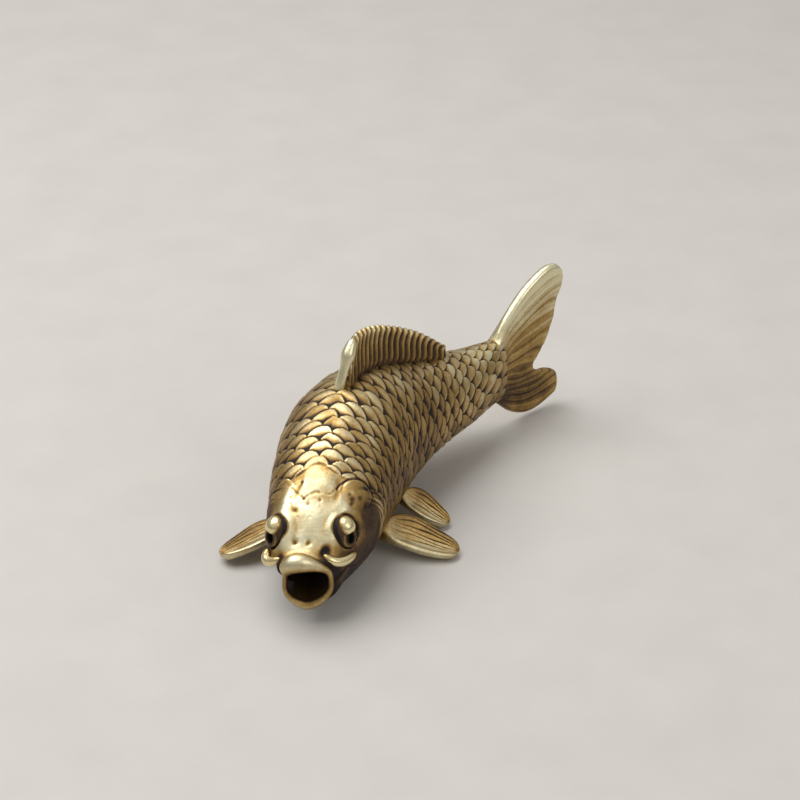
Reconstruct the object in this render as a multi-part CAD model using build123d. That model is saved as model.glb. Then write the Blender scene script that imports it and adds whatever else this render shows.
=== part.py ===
from build123d import *
import math
import os

# Cast brass carp that lies on its belly. The origin is the middle of the flat under the belly, the head
# points to -Y and up is +Z, so the fish's left is +X. Lengths are in millimetres and angles in degrees.
# A station is a place along the body, counted in rows of BODY_SHARES from the mouth.

# Body: head and trunk
BODY_LENGTH = 50.0
BODY_WIDTH = 15.0
BODY_HEIGHT = 18.7
BELLY_FLAT_DEPTH = 0.5

# Each row: place across and along in body lengths, height of the spine in body heights, half width in
# body widths, then the reach of the back and of the belly from the spine in body heights.
BODY_SHARES = (
    (-0.086, -0.368, 0.316, 0.207, 0.134, 0.139),
    (-0.082, -0.328, 0.358, 0.287, 0.171, 0.225),
    (-0.068, -0.272, 0.417, 0.373, 0.257, 0.310),
    (-0.046, -0.192, 0.471, 0.433, 0.348, 0.401),
    (-0.026, -0.080, 0.519, 0.473, 0.425, 0.503),
    (0.010, 0.040, 0.556, 0.500, 0.470, 0.556),
    (0.076, 0.160, 0.556, 0.467, 0.440, 0.471),
    (0.172, 0.272, 0.524, 0.387, 0.337, 0.326),
    (0.272, 0.368, 0.497, 0.300, 0.257, 0.267),
    (0.344, 0.430, 0.497, 0.193, 0.225, 0.246),
    (0.392, 0.470, 0.503, 0.100, 0.219, 0.241),
)
# Way that each section faces, turned from the head's own direction
BODY_HEADINGS = (0, 1, 2, 4, 9, 21, 35, 43, 47, 50, 50)

# Joints: lugs, pegs and beads are brazed into pockets with this much room; cutters run past by the overrun
BRAZE_GAP = 0.05
OVERRUN = 1.0
FOOT_DEPTH = 0.8

# Scale coat of the trunk: staggered rows of scales, each with a raised rear edge. The edge lies at a share
# of the scale's length and spans a share of its width. The first row is sunk into the head. Rows slant to
# the head down the sides, by a share of a row for each half column, and the slant fades in from both ends.
SCALE_LIFT = 0.3
SCALE_SINK = 0.5
SCALE_COLUMNS = 15
SCALE_ROWS = 37
SCALE_FIRST_STATION = 2.86
SCALE_EDGE_LENGTH_SHARE = 0.78
SCALE_EDGE_WIDTH_SHARE = 0.48
SCALE_SLANT_SHARE = 0.45
SCALE_FADE_ROWS = 7
SCALE_RUN_STEPS = 100

# Head: smooth casting in front of the scale coat
HEAD_STATIONS = (0, 1, 2, 3)

# Gill covers: head plates with a round rear edge, lifted off the trunk by a share at each station
GILL_LIFT = 0.5
GILL_RADIUS = 5.2
GILL_RISE = 1.5
GILL_STATION = 2.0
GILL_LIFT_SHARES = {1: -0.6, 2: 0.5, 3: 1.0, 4: 1.0}

# Mouth, lips and nostrils
MOUTH_WIDTH = 4.6
MOUTH_RISE = 1.75
MOUTH_DROP = 2.1
MOUTH_DEPTH = 5.0
MOUTH_THROAT_SHARE = 0.6
UPPER_LIP_RADIUS = 1.0
LOWER_LIP_RADIUS = 0.5
LIP_SIDES = 10
NOSTRIL_RADIUS = 0.4
NOSTRIL_DEPTH = 0.5
NOSTRIL_STATION = 1.14
NOSTRIL_ANGLES = (87.5, 107)

# Eyes: drilled beads on pegs. Each looks forward and down from the skin, so its ring slopes up out of the
# skin behind it and its socket sinks in before it.
EYE_RADIUS = 1.8
EYE_STEPS = 6
EYE_RING_RADIUS = 2.15
EYE_RING_SLOPE = 0.8
EYE_RING_FALL = 1.2
EYE_RING_DEPTH = 1.9
EYE_SOCKET_RADIUS = 1.95
EYE_SOCKET_DEPTH = 0.3
EYE_PEG_RADIUS = 0.5
EYE_PEG_LENGTH = 1.2
PUPIL_RADIUS = 0.65
PUPIL_DEPTH = 0.5
EYE_SINK_SHARE = 0.45
EYE_STATION = 1.78
EYE_ANGLE = 40
EYE_FORWARD_SHARE = 0.42
EYE_DROP_SHARE = 0.33

# Barbels: curled feelers, each along an arc through three places on the cheek (station, angle)
BARBEL_RADIUS = 0.5
BARBEL_SIDES = 8
BARBEL_PEG_RADIUS = 0.35
BARBEL_PEG_LENGTH = 1.2
BARBEL_PLACES = ((0.68, 52), (0.95, 20), (1.65, 4))

# Rays: ridges with a diamond section that stand proud on both faces of a fin
RAY_WIDTH = 0.55
RAY_PROUD = 0.18
RAY_REACH_SHARE = 0.94

# Lugs under the dorsal, anal and tail fins
LUG_LENGTH = 2.6
LUG_THICKNESS = 0.6
LUG_DEPTH = 1.6

# Dorsal fin, with its height at even steps from front to rear
DORSAL_HEIGHT = 5.7
DORSAL_FOOT_THICKNESS = 1.2
DORSAL_EDGE_THICKNESS = 0.7
DORSAL_STATIONS = (5.05, 7.8)
DORSAL_HEIGHT_SHARES = (0.32, 0.95, 1.00, 0.96, 0.90, 0.83, 0.71, 0.51, 0.29)
DORSAL_RAYS = 17
DORSAL_LEAN_SHARE = 0.10
DORSAL_LUG_SHARES = (0.28, 0.74)
SPINE_FOOT_RADIUS = 0.78
SPINE_TIP_RADIUS = 0.62
SPINE_LEAN_SHARE = 0.085
SPINE_REACH_SHARE = 0.86

# Anal fin, under the tail root
ANAL_HEIGHT = 2.4
ANAL_FOOT_THICKNESS = 1.0
ANAL_EDGE_THICKNESS = 0.6
ANAL_STATIONS = (7.2, 8.7)
ANAL_HEIGHT_SHARES = (0.45, 1.00, 0.85, 0.55, 0.25)
ANAL_RAYS = 6
ANAL_LEAN_SHARE = 0.12
ANAL_LUG_SHARES = (0.45,)

# Tail fin: places along its length and over its height, from the middle of the tail root
TAIL_LENGTH = 10.0
TAIL_HEIGHT = 20.0
TAIL_THICKNESS = 1.1
TAIL_UPPER_SHARES = ((0.0, 0.20), (0.12, 0.355), (0.38, 0.495), (0.72, 0.575), (0.95, 0.55), (1.06, 0.46),
                     (0.96, 0.33), (0.90, 0.19), (0.76, 0.04), (0.56, -0.08))
TAIL_LOWER_SHARES = ((0.56, -0.08), (0.66, -0.15), (0.84, -0.165), (1.0, -0.23), (0.96, -0.34), (0.67, -0.40),
                     (0.40, -0.40), (0.0, -0.225))
TAIL_RAY_SHARES = ((0.76, 0.53), (0.91, 0.49), (0.95, 0.41), (0.87, 0.31), (0.81, 0.20), (0.71, 0.10),
                   (0.56, 0.0), (0.50, -0.09), (0.80, -0.20), (0.91, -0.27), (0.78, -0.345), (0.45, -0.37))
TAIL_ROOT_SPREAD_SHARE = 0.36

# Paired fins: leaf outlines along the length and across the width, leading edge first
LEAF_LEADING_SHARES = ((0.0, -0.13), (0.22, -0.36), (0.58, -0.50), (0.88, -0.36), (1.0, -0.06))
LEAF_TRAILING_SHARES = ((1.0, -0.06), (0.93, 0.22), (0.62, 0.48), (0.25, 0.37), (0.0, 0.13))
LEAF_RAY_START_SHARES = (0.12, 0.10)
LEAF_RAY_END_SHARES = (0.92, 0.28, 0.43)
LEAF_STALK_SHARE = 0.3
PEG_DEPTH = 1.8

PECTORAL_LENGTHS = {"left": 9.6, "right": 8.6}
PECTORAL_WIDTH = 5.4
PECTORAL_THICKNESS = 0.8
PECTORAL_TIP_HEIGHT = 0.9
PECTORAL_PEG_RADIUS = 0.7
PECTORAL_STALK_RADIUS = 1.0
PECTORAL_STATIONS = {"left": 4.25, "right": 4.1}
PECTORAL_ANGLE = -42
PECTORAL_PITCHES = {"left": 18, "right": -6}
PECTORAL_SWEEPS = {"left": 8, "right": -26}
PECTORAL_RAYS = 8

PELVIC_LENGTH = 6.8
PELVIC_WIDTH = 4.0
PELVIC_THICKNESS = 0.7
PELVIC_TIP_HEIGHT = 0.8
PELVIC_PEG_RADIUS = 0.55
PELVIC_STALK_RADIUS = 0.8
PELVIC_STATION = 5.7
PELVIC_ANGLE = -48
PELVIC_PITCH = 15
PELVIC_SWEEPS = {"left": 12, "right": 12}
PELVIC_RAYS = 6

HANDS = {"left": 1, "right": -1}
UP = Vector(0, 0, 1)


def blend(rows, place):
    """Values of a table at a fractional row, on a smooth curve through its rows."""
    last = len(rows) - 1
    row = min(max(math.floor(place), 0), last - 1)
    t = place - row
    before, start, end, after = [rows[min(max(row + step, 0), last)] for step in (-1, 0, 1, 2)]
    values = []
    for p, q, r, s in zip(before, start, end, after):
        bend = (2 * p - 5 * q + 4 * r - s) * t**2 + (3 * q - p - 3 * r + s) * t**3
        values.append(q + ((r - p) * t + bend) / 2)
    return values


def spine(station):
    """Point on the spine of the body."""
    across, along, height = blend(BODY_SHARES, station)[:3]
    return Vector(across * BODY_LENGTH, along * BODY_LENGTH, height * BODY_HEIGHT - BELLY_FLAT_DEPTH)


def upright(station):
    """Upright plane across the body: x to the fish's left, y up and z to the head."""
    heading = blend([(turn,) for turn in BODY_HEADINGS], station)[0]
    forward = Vector(0, -1, 0).rotate(Axis.Z, -heading)
    return Plane(spine(station), x_dir=UP.cross(forward), z_dir=forward)


def reaches(station):
    """Half width, back and belly of the body, from its spine."""
    width, back, belly = blend(BODY_SHARES, station)[3:]
    return width * BODY_WIDTH, back * BODY_HEIGHT, belly * BODY_HEIGHT


def skin(station, angle, hand=1):
    """Point on the skin, with the angle measured from the side up over the back."""
    width, back, belly = reaches(station)
    across, rise = math.cos(math.radians(angle)), math.sin(math.radians(angle))
    reach = back if rise > 0 else belly
    return upright(station).from_local_coords(Vector(hand * width * across, reach * rise, 0))


def outward(station, angle, hand=1):
    """Direction square to the section's rim at a point on the skin."""
    width, back, belly = reaches(station)
    across, rise = math.cos(math.radians(angle)), math.sin(math.radians(angle))
    reach = back if rise > 0 else belly
    plane = upright(station)
    return (plane.x_dir * (hand * across / width) + UP * (rise / reach)).normalized()


def oval(half_width, rise, drop):
    """Face of two half ellipses on one width."""
    upper = EllipticalCenterArc((0, 0), half_width, rise, arc_size=180)
    lower = EllipticalCenterArc((0, 0), half_width, drop, start_angle=180, arc_size=180)
    return make_face(upper + lower)


def section(station, lift=0):
    """Cross-section of the body, grown by a lift."""
    width, back, belly = reaches(station)
    return upright(station) * oval(width + lift, back + lift, belly + lift)


def along(start, direction, radius, length):
    """Cylinder from a point along a direction."""
    return extrude(Plane(start, z_dir=direction) * Circle(radius), amount=length)


def trunk_runs():
    """Distances along the spine from the first scales, each with its station."""
    step = (len(BODY_SHARES) - 1 - SCALE_FIRST_STATION) / SCALE_RUN_STEPS
    runs = [(0, SCALE_FIRST_STATION)]
    for number in range(1, SCALE_RUN_STEPS + 1):
        station = SCALE_FIRST_STATION + step * number
        distance = runs[-1][0] + (spine(station) - spine(station - step)).length
        runs.append((distance, station))
    return runs


def row_station(row, runs):
    """Station of a row of scales, with the rows evenly spaced along the spine."""
    distance = runs[-1][0] * row / SCALE_ROWS
    later = next((number for number, run in enumerate(runs) if run[0] > distance), len(runs) - 1)
    (before, start), (after, end) = runs[later - 1], runs[later]
    return start + (end - start) * (distance - before) / (after - before)


TRUNK_RUNS = trunk_runs()


def coat_point(row, column, lift=0):
    """Point of the scale coat: rows run to the tail, columns run round the body."""
    angle = 360 * column / SCALE_COLUMNS
    off_ridge = abs((angle + 90) % 360 - 180)
    fade = min(row, SCALE_ROWS - row, SCALE_FADE_ROWS) / SCALE_FADE_ROWS
    slant = SCALE_SLANT_SHARE * fade * min(off_ridge, 90) * 2 * SCALE_COLUMNS / 360
    station = row_station(row - slant, TRUNK_RUNS)
    return skin(station, angle) + outward(station, angle) * lift


def scale(row, column):
    """Facets of one scale: a gentle slope from its root to the raised edge, and a steep one behind."""
    root, left, right, tip = [
        coat_point(row + down, column + across, -SCALE_SINK if row + down == 0 else 0)
        for down, across in ((0, 0), (1, -0.5), (1, 0.5), (2, 0))]
    back = row + 2 * SCALE_EDGE_LENGTH_SHARE
    edge_left, edge_right = [
        coat_point(back, column + side * SCALE_EDGE_WIDTH_SHARE, SCALE_LIFT) for side in (-0.5, 0.5)]
    return [(root, left, edge_left), (root, edge_left, edge_right), (root, edge_right, right),
            (left, tip, edge_left), (edge_left, tip, edge_right), (edge_right, tip, right)]


def scaled_trunk():
    """Trunk from the head to the tail root, covered in scales and closed by a flat at each end."""
    facets = []
    for column in range(SCALE_COLUMNS):
        for row in range(SCALE_ROWS - 1):
            facets += scale(row, column + row % 2 / 2)
        ends = ((0, 0, -SCALE_SINK), (SCALE_ROWS, SCALE_ROWS % 2 / 2, 0))
        for (row, shift, lift), inner in zip(ends, (1, SCALE_ROWS - 1)):
            rim = [coat_point(row, column + shift + step, lift) for step in (0, 1)]
            facets.append((*rim, coat_point(inner, column + shift + 0.5)))
    for row, shift, lift in ends:
        facets.append([coat_point(row, column + shift, lift) for column in range(SCALE_COLUMNS)])
    return Solid(Shell([Face(Wire.make_polygon(corners)) for corners in facets]))


def gill_covers():
    """Head plates that stand proud of the trunk and end in a round edge behind the cheeks."""
    plates = loft([section(station, GILL_LIFT * share) for station, share in GILL_LIFT_SHARES.items()])
    middle = spine(GILL_STATION) + UP * GILL_RISE
    disc = Plane(middle, z_dir=upright(GILL_STATION).x_dir) * Cylinder(GILL_RADIUS, 2 * BODY_WIDTH)
    return plates & disc


def roll(path, radius, sides):
    """Rod along a path, with many flat sides."""
    return sweep(Plane(path @ 0, z_dir=path % 0) * RegularPolygon(radius, sides), path=path)


def lip(radius, half_width, reach, start_angle):
    """Roll along one half of the mouth's rim."""
    rim = EllipticalCenterArc((0, 0), half_width, reach + radius, start_angle=start_angle, arc_size=180)
    return roll(upright(0) * rim, radius, LIP_SIDES)


def mouth_cavity():
    """Blind throat that narrows behind the lips."""
    face = upright(0)
    front = (MOUTH_WIDTH / 2, MOUTH_RISE, MOUTH_DROP)
    rear = [size * MOUTH_THROAT_SHARE for size in front]
    return loft([face.offset(OVERRUN) * oval(*front), face.offset(-MOUTH_DEPTH) * oval(*rear)])


def eye_plane(hand):
    """Plane on the skin at an eye, with z in the direction in which it looks."""
    turned_away = upright(EYE_STATION).z_dir * EYE_FORWARD_SHARE - UP * EYE_DROP_SHARE
    look = outward(EYE_STATION, EYE_ANGLE, hand) + turned_away
    return Plane(skin(EYE_STATION, EYE_ANGLE, hand), z_dir=look)


def turned(*corners):
    """Solid of revolution about the z axis, from corners given as radius and height."""
    outline = make_face(Polyline(*corners, close=True))
    return revolve(Plane.XZ * outline, axis=Axis.Z)


def eye(hand, gap=0):
    """Bead on a peg, turned in flat steps; without a gap it also has its hollow pupil."""
    radius, peg = EYE_RADIUS + gap, EYE_PEG_RADIUS + gap
    foot = -EYE_RADIUS - EYE_PEG_LENGTH - gap
    first = math.asin(peg / radius)
    last = math.pi - math.asin(PUPIL_RADIUS / radius)
    turns = [first + (last - first) * step / EYE_STEPS for step in range(EYE_STEPS + 1)]
    bead = [(radius * math.sin(turn), -radius * math.cos(turn)) for turn in turns]
    brow = bead[-1][1]
    middle = (0, brow) if gap else (0, brow - PUPIL_DEPTH)
    whole = turned((0, foot), (peg, foot), *bead, middle)
    return eye_plane(hand) * Pos(0, 0, -EYE_RADIUS * EYE_SINK_SHARE) * whole


def eye_ring(hand):
    """Mound with a sloping side in which an eye is set."""
    outer = EYE_RING_RADIUS + EYE_RING_SLOPE
    mound = turned((0, -EYE_RING_DEPTH), (outer, -EYE_RING_DEPTH), (outer, -EYE_RING_FALL),
                   (EYE_RING_RADIUS, 0), (0, 0))
    return eye_plane(hand) * mound


def eye_socket(hand):
    """Round recess about an eye, open to the outside."""
    plane = eye_plane(hand).offset(-EYE_SOCKET_DEPTH)
    return along(plane.origin, plane.z_dir, EYE_SOCKET_RADIUS, EYE_SOCKET_DEPTH + EYE_RADIUS + OVERRUN)


def head_casting():
    """Head with gill covers, lips, mouth, nostrils and eye sockets."""
    head = loft([section(station) for station in HEAD_STATIONS])
    head += gill_covers()
    head += lip(UPPER_LIP_RADIUS, MOUTH_WIDTH / 2, MOUTH_RISE, 0)
    head += lip(LOWER_LIP_RADIUS, MOUTH_WIDTH / 2 + LOWER_LIP_RADIUS, MOUTH_DROP, 180)
    head -= mouth_cavity()
    for hand in HANDS.values():
        head += eye_ring(hand)
        head -= eye_socket(hand)
    for angle in NOSTRIL_ANGLES:
        inward = -outward(NOSTRIL_STATION, angle)
        start = skin(NOSTRIL_STATION, angle) - inward * OVERRUN
        head -= along(start, inward, NOSTRIL_RADIUS, OVERRUN + NOSTRIL_DEPTH)
    return head


def whole_body():
    """Head and trunk before the pockets are cut, ground flat under the belly."""
    return split(head_casting() + scaled_trunk(), bisect_by=Plane.XY, keep=Keep.TOP)


def barbel(hand):
    """Curled feeler along the cheek."""
    points = [skin(station, angle, hand) for station, angle in BARBEL_PLACES]
    return roll(ThreePointArc(*points), BARBEL_RADIUS, BARBEL_SIDES)


def barbel_peg(hand, gap=0):
    """Straight end of a feeler, sunk into the lip."""
    station, angle = BARBEL_PLACES[0]
    inward = -outward(station, angle, hand)
    return along(skin(station, angle, hand), inward, BARBEL_PEG_RADIUS + gap, BARBEL_PEG_LENGTH + gap)


def ray(foot, tip, face, foot_half, tip_half):
    """Ridge along a fin, through both of its faces."""
    direction = (tip - foot).normalized()
    ends = []
    for point, half in ((foot, foot_half), (tip, tip_half)):
        proud = half + RAY_PROUD
        corners = ((proud, 0), (0, RAY_WIDTH / 2), (-proud, 0), (0, -RAY_WIDTH / 2))
        ends.append(Plane(point, x_dir=face, z_dir=direction) * Polygon(*corners))
    return loft(ends, ruled=True)


class Sail:
    """Fin on the midline of the body, over the back or under the belly."""

    def __init__(self, over, stations, height, shares, foot_thickness, edge_thickness):
        self.over = over
        self.first, self.last = stations
        self.height = height
        self.shares = [(share,) for share in shares]
        self.foot_thickness = foot_thickness
        self.edge_thickness = edge_thickness

    def station(self, share):
        """Station at a share of the fin's length."""
        return self.first + (self.last - self.first) * share

    def reach(self, station):
        """Distance of the skin from the spine, on the fin's side."""
        return reaches(station)[1 if self.over > 0 else 2]

    def rise(self, share):
        """Height of the fin's edge over the skin, at a share of its length."""
        return self.height * blend(self.shares, share * (len(self.shares) - 1))[0]

    def point(self, share, rise):
        """Point in the fin's middle plane, at a height over the skin."""
        station = self.station(share)
        return spine(station) + UP * (self.over * (self.reach(station) + rise))

    def blade(self):
        """Curved web of the fin, thinner at its edge, with its foot below the skin."""
        rims = []
        for row in range(len(self.shares)):
            share = row / (len(self.shares) - 1)
            station = self.station(share)
            foot = self.over * (self.reach(station) - FOOT_DEPTH)
            edge = self.over * (self.reach(station) + self.rise(share))
            corners = ((-self.foot_thickness / 2, foot), (self.foot_thickness / 2, foot),
                       (self.edge_thickness / 2, edge), (-self.edge_thickness / 2, edge))
            rims.append(upright(station) * Polygon(*corners, align=None))
        return loft(rims)

    def rays(self, count, lean):
        """Ridges on both faces, leaning to the tail."""
        ridges = []
        for number in range(count):
            share = (number + 1) / (count + 1) * (1 - lean)
            foot = self.point(share, 0)
            tip = self.point(share + lean, self.rise(share + lean) * RAY_REACH_SHARE)
            face = upright(self.station(share)).x_dir
            ridges.append(ray(foot, tip, face, self.foot_thickness / 2, self.edge_thickness / 2))
        return ridges

    def lugs(self, shares, gap=0):
        """Blocks under the foot that enter the body, grown by a gap to make their pockets."""
        blocks = []
        for share in shares:
            station = self.station(share)
            rise = self.rise(share) / 2
            middle = self.over * (self.reach(station) + (rise - LUG_DEPTH - gap) / 2)
            block = Box(LUG_THICKNESS + 2 * gap, rise + LUG_DEPTH + gap, LUG_LENGTH + 2 * gap)
            blocks.append(upright(station) * Pos(0, middle, 0) * block)
        return blocks


DORSAL = Sail(1, DORSAL_STATIONS, DORSAL_HEIGHT, DORSAL_HEIGHT_SHARES,
              DORSAL_FOOT_THICKNESS, DORSAL_EDGE_THICKNESS)
ANAL = Sail(-1, ANAL_STATIONS, ANAL_HEIGHT, ANAL_HEIGHT_SHARES, ANAL_FOOT_THICKNESS, ANAL_EDGE_THICKNESS)


def front_spine():
    """Thick first ray of the dorsal fin, with a blunt tip."""
    foot = DORSAL.point(0, -FOOT_DEPTH)
    tip = DORSAL.point(SPINE_LEAN_SHARE, DORSAL_HEIGHT * SPINE_REACH_SHARE)
    length = (tip - foot).length
    rod = turned((0, 0), (SPINE_FOOT_RADIUS, 0), (SPINE_TIP_RADIUS, length),
                 (SPINE_TIP_RADIUS / 2, length + SPINE_TIP_RADIUS), (0, length + SPINE_TIP_RADIUS))
    return Plane(foot, z_dir=tip - foot) * rod


def tail_plane():
    """Upright plane of the tail fin: x along the tail and y up, from the middle of the tail root."""
    root = upright(len(BODY_SHARES) - 1)
    return Plane(root.origin, x_dir=-root.z_dir, z_dir=UP.cross(root.z_dir))


def tail_point(shares):
    """Point of the tail fin, from its shares along and up."""
    return (TAIL_LENGTH * shares[0], TAIL_HEIGHT * shares[1])


def tail_fin():
    """Forked fan with rays that spread from the tail root."""
    upper = Spline(*[tail_point(shares) for shares in TAIL_UPPER_SHARES])
    lower = Spline(*[tail_point(shares) for shares in TAIL_LOWER_SHARES])
    plane = tail_plane()
    outline = plane * make_face(upper + lower + Line(lower @ 1, upper @ 0))
    blade = extrude(outline, amount=TAIL_THICKNESS / 2, both=True)
    count = len(TAIL_RAY_SHARES)
    ridges = []
    for number, shares in enumerate(TAIL_RAY_SHARES):
        level = TAIL_ROOT_SPREAD_SHARE * (0.5 - (number + 0.5) / count)
        foot = plane.from_local_coords(Vector(*tail_point((0, level))))
        tip = plane.from_local_coords(Vector(*tail_point(shares)))
        ridges.append(ray(foot, tip, plane.z_dir, TAIL_THICKNESS / 2, TAIL_THICKNESS / 2))
    return blade + ridges


def tail_lug(gap=0):
    """Block at the root of the tail fin that enters the body."""
    length = 2 * LUG_DEPTH + gap
    block = Box(length, LUG_LENGTH + 2 * gap, LUG_THICKNESS + 2 * gap)
    return tail_plane() * Pos(-gap / 2, 0, 0) * block


class Leaf:
    """Paired fin: a leaf on a stalk, with its peg in the side of the body and its tip near the ground."""

    def __init__(self, hand, station, angle, sweep_angle, pitch, length, width, tip_height):
        sign = HANDS[hand]
        root = skin(station, angle, sign)
        level = (upright(station).x_dir * sign).rotate(Axis.Z, sign * sweep_angle)
        chord = UP.cross(level) * sign
        drop = math.asin((root.Z - tip_height) / length)
        out = level * math.cos(drop) - UP * math.sin(drop)
        raised = out.cross(chord) * sign
        rear = chord * math.cos(math.radians(pitch)) + raised * math.sin(math.radians(pitch))
        self.plane = Plane(root, x_dir=out, z_dir=out.cross(rear))
        self.length = length
        self.width = width

    def place(self, shares):
        """Point of the leaf in its own plane, from its shares along and across."""
        return (self.length * shares[0], self.width * shares[1])

    def fin(self, thickness, rays, stalk_radius):
        """Leaf with its rays and tapered stalk."""
        leading = Spline(*[self.place(shares) for shares in LEAF_LEADING_SHARES])
        trailing = Spline(*[self.place(shares) for shares in LEAF_TRAILING_SHARES])
        outline = make_face(leading + trailing + Line(trailing @ 1, leading @ 0))
        blade = extrude(self.plane * outline, amount=thickness / 2, both=True)
        stalk_length = self.length * LEAF_STALK_SHARE
        stalk = turned((0, 0), (stalk_radius, 0), (thickness / 2, stalk_length), (0, stalk_length))
        ridges = [self.ray(number, rays, thickness) for number in range(rays)]
        return blade + ridges + Plane(self.plane.origin, z_dir=self.plane.x_dir) * stalk

    def ray(self, number, count, thickness):
        """One of the rays that fan out over the leaf."""
        spread = 2 * (number + 0.5) / count - 1
        start_along, start_across = LEAF_RAY_START_SHARES
        end_along, end_fall, end_across = LEAF_RAY_END_SHARES
        foot = self.place((start_along, start_across * spread))
        tip = self.place((end_along - end_fall * spread**2, end_across * spread))
        foot, tip = [self.plane.from_local_coords(Vector(*point)) for point in (foot, tip)]
        return ray(foot, tip, self.plane.z_dir, thickness / 2, thickness / 2)

    def peg(self, radius, gap=0):
        """Round peg that enters the body, grown by a gap to make its hole."""
        start = self.plane.origin + self.plane.x_dir * (self.length * LEAF_STALK_SHARE / 2)
        length = (start - self.plane.origin).length + PEG_DEPTH + gap
        return along(start, -self.plane.x_dir, radius + gap, length)


def build():
    """All pieces of the fish, by name."""
    body = whole_body()
    pieces = {}
    pockets = []

    def set_in(name, outside, inside, pocket):
        """Fit a piece against the skin, with its lugs or pegs in pockets."""
        pieces[name] = outside - body + inside
        pockets.extend(pocket)

    dorsal = DORSAL.blade() + DORSAL.rays(DORSAL_RAYS, DORSAL_LEAN_SHARE) + front_spine()
    set_in("dorsal_fin", dorsal, DORSAL.lugs(DORSAL_LUG_SHARES), DORSAL.lugs(DORSAL_LUG_SHARES, BRAZE_GAP))
    anal = ANAL.blade() + ANAL.rays(ANAL_RAYS, ANAL_LEAN_SHARE)
    set_in("anal_fin", anal, ANAL.lugs(ANAL_LUG_SHARES), ANAL.lugs(ANAL_LUG_SHARES, BRAZE_GAP))
    set_in("tail_fin", tail_fin(), [tail_lug()], [tail_lug(BRAZE_GAP)])
    for hand, sign in HANDS.items():
        pectoral = Leaf(
            hand, PECTORAL_STATIONS[hand], PECTORAL_ANGLE, PECTORAL_SWEEPS[hand], PECTORAL_PITCHES[hand],
            PECTORAL_LENGTHS[hand], PECTORAL_WIDTH, PECTORAL_TIP_HEIGHT)
        fin = pectoral.fin(PECTORAL_THICKNESS, PECTORAL_RAYS, PECTORAL_STALK_RADIUS)
        set_in(f"pectoral_fin_{hand}", fin, [pectoral.peg(PECTORAL_PEG_RADIUS)],
               [pectoral.peg(PECTORAL_PEG_RADIUS, BRAZE_GAP)])
        pelvic = Leaf(hand, PELVIC_STATION, PELVIC_ANGLE, PELVIC_SWEEPS[hand], PELVIC_PITCH,
                      PELVIC_LENGTH, PELVIC_WIDTH, PELVIC_TIP_HEIGHT)
        fin = pelvic.fin(PELVIC_THICKNESS, PELVIC_RAYS, PELVIC_STALK_RADIUS)
        set_in(f"pelvic_fin_{hand}", fin, [pelvic.peg(PELVIC_PEG_RADIUS)],
               [pelvic.peg(PELVIC_PEG_RADIUS, BRAZE_GAP)])
        set_in(f"barbel_{hand}", barbel(sign), [barbel_peg(sign)], [barbel_peg(sign, BRAZE_GAP)])
        pieces[f"eye_{hand}"] = eye(sign)
        pockets.append(eye(sign, BRAZE_GAP))
    pieces["body_casting"] = body - pockets
    return pieces


os.makedirs("parts", exist_ok=True)
for node, piece in build().items():
    export_step(piece, f"parts/{node}.step")
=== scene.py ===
"""Antique brass carp ornament: the visible model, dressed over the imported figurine."""

import logging
import math
from dataclasses import dataclass
from enum import Enum

import bmesh
import bpy
import numpy as np
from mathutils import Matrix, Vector


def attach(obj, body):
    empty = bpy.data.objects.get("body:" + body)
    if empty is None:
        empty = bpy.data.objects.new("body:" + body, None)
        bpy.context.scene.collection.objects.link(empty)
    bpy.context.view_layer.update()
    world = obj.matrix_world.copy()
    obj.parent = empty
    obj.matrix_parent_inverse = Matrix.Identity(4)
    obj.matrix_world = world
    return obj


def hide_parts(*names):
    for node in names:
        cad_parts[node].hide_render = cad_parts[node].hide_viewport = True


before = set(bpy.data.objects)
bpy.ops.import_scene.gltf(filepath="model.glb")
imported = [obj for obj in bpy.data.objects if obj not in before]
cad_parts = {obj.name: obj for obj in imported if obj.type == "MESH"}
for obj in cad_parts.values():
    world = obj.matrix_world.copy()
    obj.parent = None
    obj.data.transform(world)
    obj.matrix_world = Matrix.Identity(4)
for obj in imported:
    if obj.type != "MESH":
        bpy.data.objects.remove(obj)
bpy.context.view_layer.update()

LOG = logging.getLogger("carp")
MM = 0.001
UP = np.array((0.0, 0.0, 1.0))
Array = np.ndarray


class Hand(Enum):
    """Side of the fish, with its sign along the body's own across direction."""

    LEFT = 1
    RIGHT = -1


class Slot(Enum):
    """Material slots of the record."""

    ANTIQUE = "antique_brass"
    RUBBED = "rubbed_brass"


def linear(code: str) -> tuple[float, float, float, float]:
    """Turn a colour into linear light.

    Args:
        code: sRGB colour as six hex digits.

    Returns:
        Linear red, green, blue and an alpha of one.
    """
    shares = [int(code[at:at + 2], 16) / 255 for at in (0, 2, 4)]
    red, green, blue = [s / 12.92 if s <= 0.04045 else ((s + 0.055) / 1.055) ** 2.4 for s in shares]
    return red, green, blue, 1.0


def smooth(low: float, high: float, values: Array) -> Array:
    """Ease from 0 at low to 1 at high.

    Args:
        low: Value that gives 0.
        high: Value that gives 1; it may lie below low.
        values: Numbers to ease.

    Returns:
        Shares from 0 to 1.
    """
    share = np.clip((np.asarray(values, float) - low) / (high - low), 0, 1)
    return share * share * (3 - 2 * share)


def bump(values: Array, middle: float, spread: float) -> Array:
    """Bell curve of height 1 around a middle value."""
    return np.exp(-(((values - middle) / spread) ** 2))


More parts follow.
